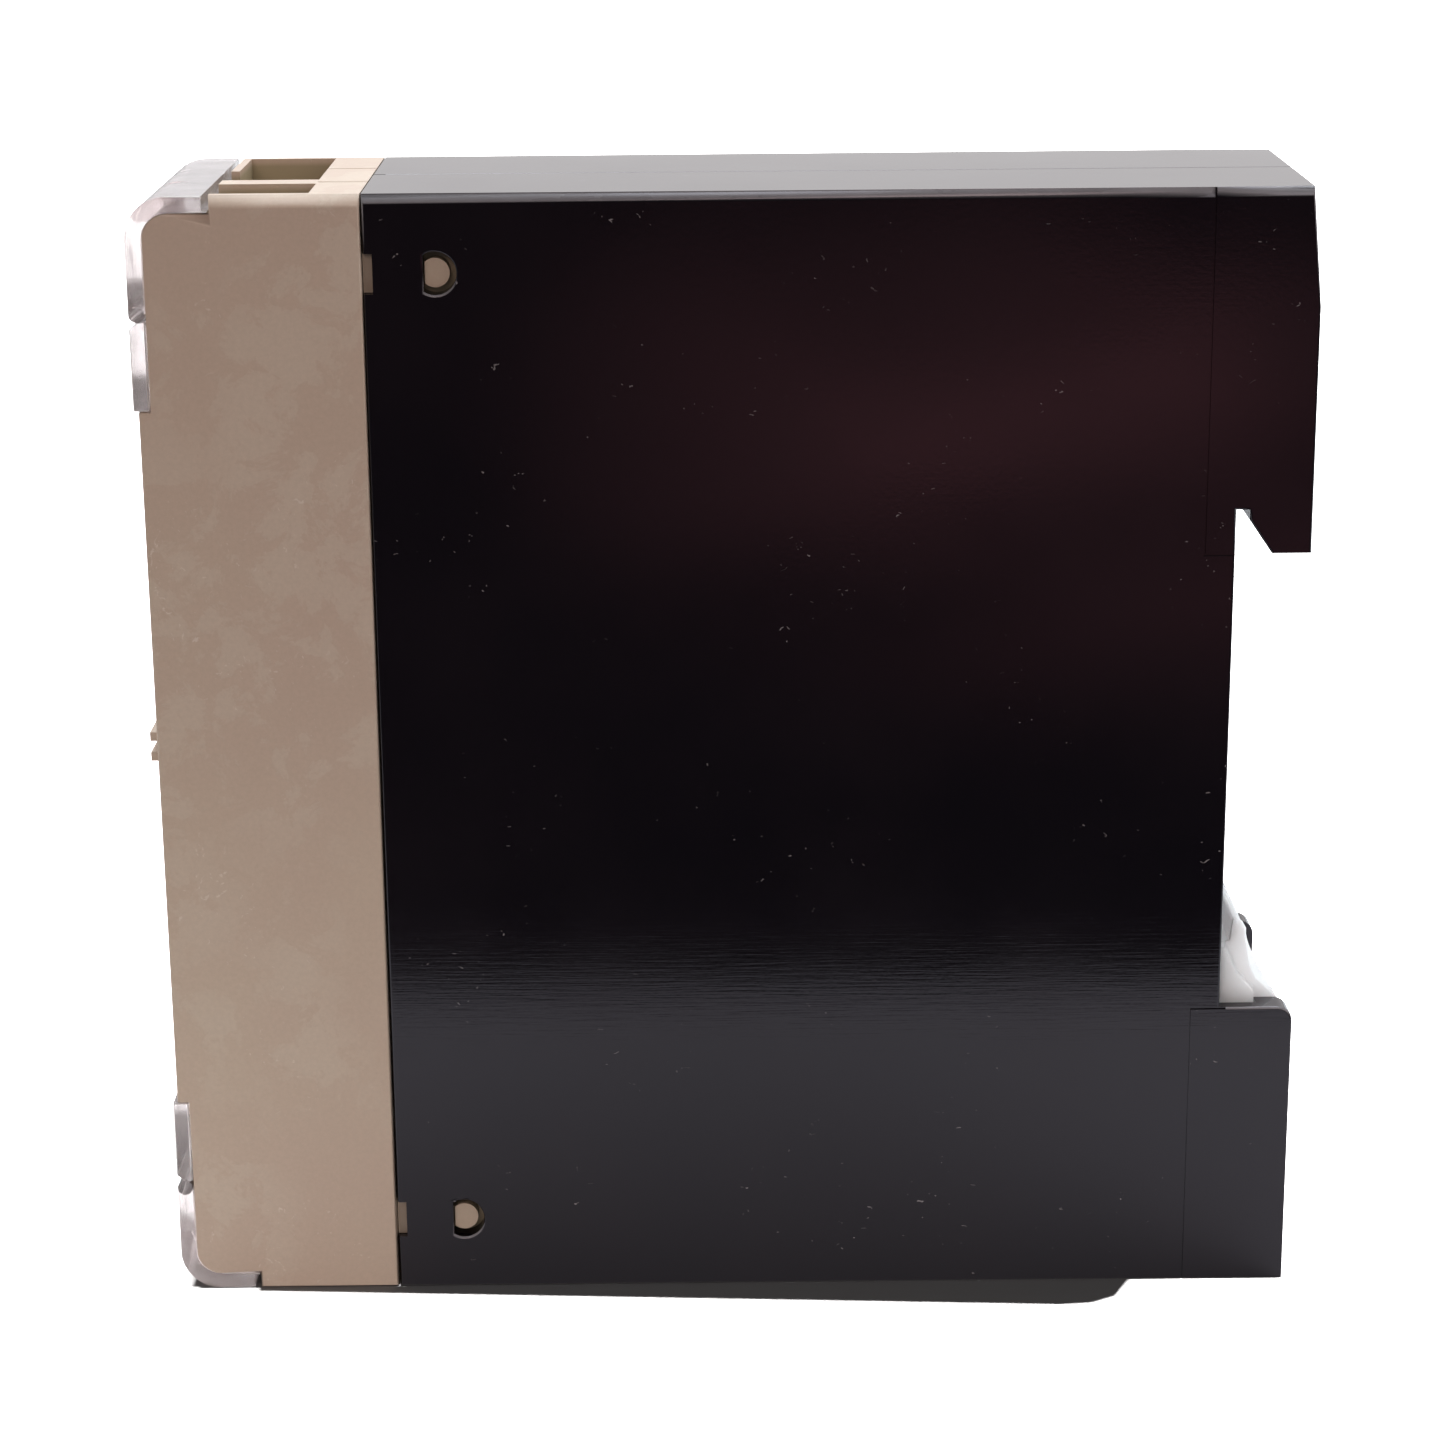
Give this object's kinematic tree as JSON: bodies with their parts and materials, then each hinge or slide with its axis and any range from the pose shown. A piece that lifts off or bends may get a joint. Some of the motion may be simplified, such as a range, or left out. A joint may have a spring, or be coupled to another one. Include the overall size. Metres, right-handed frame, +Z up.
{
  "type": "solid state relay",
  "caption": "Slim rail-mounted solid state relay: black half shells, beige terminal frame, hinged clear covers and a sprung white rail clip.",
  "frame": {"origin": "centre of the base, at the middle of the bounding box's footprint", "axes": "+Z up the mounting rail's height, +X from the terminals towards the rail, +Y across the width"},
  "size_m": [0.089, 0.0226, 0.088],
  "materials": {
    "black_shell": "moulded, semi gloss",
    "beige_frame": "moulded, satin",
    "clear_cover": "clear moulded plastic",
    "white_nylon": "natural nylon",
    "spring_steel": "drawn wire",
    "plate_white": "blank plate",
    "light_pipe": "clear moulded plastic",
    "led_green": "cast resin",
    "board_green": "solder mask",
    "aluminium": "milled",
    "pad_grey": "silicone pad",
    "package_black": "moulded epoxy",
    "steel": "zinc plated",
    "resistor_blue": "lacquer",
    "resistor_grey": "cement coat",
    "sleeve_dark": "shrink sleeve",
    "varistor_blue": "epoxy coat",
    "capacitor_red": "moulded box",
    "brass": "stamped",
    "cage_brass": "nickel plated"
  },
  "bodies": {
    "root": {"housing_shell_near": "black_shell", "housing_shell_far": "black_shell", "front_frame": "beige_frame", "upper_cover_strip": "clear_cover", "lower_cover_strip": "clear_cover", "clip_spring": "spring_steel", "name_plate": "plate_white", "light_pipe": "light_pipe", "status_led": "led_green", "main_board": "board_green", "heat_spreader": "aluminium", "thermal_pads": "pad_grey", "power_thyristors": "package_black", "thyristor_screws": "steel", "opto_driver": "package_black", "input_rectifier": "package_black", "input_resistors": "resistor_blue", "input_capacitor": "sleeve_dark", "varistor": "varistor_blue", "snubber_capacitor": "capacitor_red", "snubber_resistor": "resistor_grey", "upper_busbars": "brass", "lower_busbars": "brass"},
    "upper_screw_1": {"upper_screw_1": "steel"},
    "upper_screw_2": {"upper_screw_2": "steel"},
    "upper_screw_3": {"upper_screw_3": "steel"},
    "upper_cage_1": {"upper_cage_1": "cage_brass"},
    "upper_cage_2": {"upper_cage_2": "cage_brass"},
    "upper_cage_3": {"upper_cage_3": "cage_brass"},
    "lower_screw_1": {"lower_screw_1": "steel"},
    "lower_screw_2": {"lower_screw_2": "steel"},
    "lower_screw_3": {"lower_screw_3": "steel"},
    "lower_cage_1": {"lower_cage_1": "cage_brass"},
    "lower_cage_2": {"lower_cage_2": "cage_brass"},
    "lower_cage_3": {"lower_cage_3": "cage_brass"},
    "upper_cover_flap": {"upper_cover_flap": "clear_cover"},
    "lower_cover_flap": {"lower_cover_flap": "clear_cover"},
    "rail_clip": {"rail_clip": "white_nylon"}
  },
  "joints": [
    {"name": "upper_cover_hinge", "type": "hinge", "parent": "root", "child": "upper_cover_flap", "pos_m": [-0.04365, 0, 0.0792], "axis": [0, -1, 0], "range_deg": [0, 110]},
    {"name": "lower_cover_hinge", "type": "hinge", "parent": "root", "child": "lower_cover_flap", "pos_m": [-0.04365, 0, 0.0088], "axis": [0, 1, 0], "range_deg": [0, 110]},
    {"name": "clip_slide", "type": "slide", "parent": "root", "child": "rail_clip", "axis": [0, 0, -1], "range_m": [0, 0.003], "stiffness_N_per_m": 1200, "springref_m": -0.002, "deforming": ["clip_spring"]},
    {"name": "upper_screw_1_turn", "type": "hinge", "parent": "root", "child": "upper_screw_1", "pos_m": [-0.0375, -0.0075, 0.0821], "axis": [1, 0, 0], "range_deg": [0, 2161]},
    {"name": "upper_cage_1_lift", "type": "slide", "parent": "root", "child": "upper_cage_1", "axis": [-1, 0, 0], "range_m": [0, 0.003]},
    {"name": "upper_screw_2_turn", "type": "hinge", "parent": "root", "child": "upper_screw_2", "pos_m": [-0.0375, 0, 0.0821], "axis": [1, 0, 0], "range_deg": [0, 2161]},
    {"name": "upper_cage_2_lift", "type": "slide", "parent": "root", "child": "upper_cage_2", "axis": [-1, 0, 0], "range_m": [0, 0.003]},
    {"name": "upper_screw_3_turn", "type": "hinge", "parent": "root", "child": "upper_screw_3", "pos_m": [-0.0375, 0.0075, 0.0821], "axis": [1, 0, 0], "range_deg": [0, 2161]},
    {"name": "upper_cage_3_lift", "type": "slide", "parent": "root", "child": "upper_cage_3", "axis": [-1, 0, 0], "range_m": [0, 0.003]},
    {"name": "lower_screw_1_turn", "type": "hinge", "parent": "root", "child": "lower_screw_1", "pos_m": [-0.0375, -0.0075, 0.0059], "axis": [1, 0, 0], "range_deg": [0, 2161]},
    {"name": "lower_cage_1_lift", "type": "slide", "parent": "root", "child": "lower_cage_1", "axis": [-1, 0, 0], "range_m": [0, 0.003]},
    {"name": "lower_screw_2_turn", "type": "hinge", "parent": "root", "child": "lower_screw_2", "pos_m": [-0.0375, 0, 0.0059], "axis": [1, 0, 0], "range_deg": [0, 2161]},
    {"name": "lower_cage_2_lift", "type": "slide", "parent": "root", "child": "lower_cage_2", "axis": [-1, 0, 0], "range_m": [0, 0.003]},
    {"name": "lower_screw_3_turn", "type": "hinge", "parent": "root", "child": "lower_screw_3", "pos_m": [-0.0375, 0.0075, 0.0059], "axis": [1, 0, 0], "range_deg": [0, 2161]},
    {"name": "lower_cage_3_lift", "type": "slide", "parent": "root", "child": "lower_cage_3", "axis": [-1, 0, 0], "range_m": [0, 0.003]}
  ],
  "couplings": [
    {"joint": "upper_screw_1_turn", "follows": "upper_cage_1_lift", "rad_per_m": 12566},
    {"joint": "upper_screw_2_turn", "follows": "upper_cage_2_lift", "rad_per_m": 12566},
    {"joint": "upper_screw_3_turn", "follows": "upper_cage_3_lift", "rad_per_m": 12566},
    {"joint": "lower_screw_1_turn", "follows": "lower_cage_1_lift", "rad_per_m": 12566},
    {"joint": "lower_screw_2_turn", "follows": "lower_cage_2_lift", "rad_per_m": 12566},
    {"joint": "lower_screw_3_turn", "follows": "lower_cage_3_lift", "rad_per_m": 12566}
  ]
}
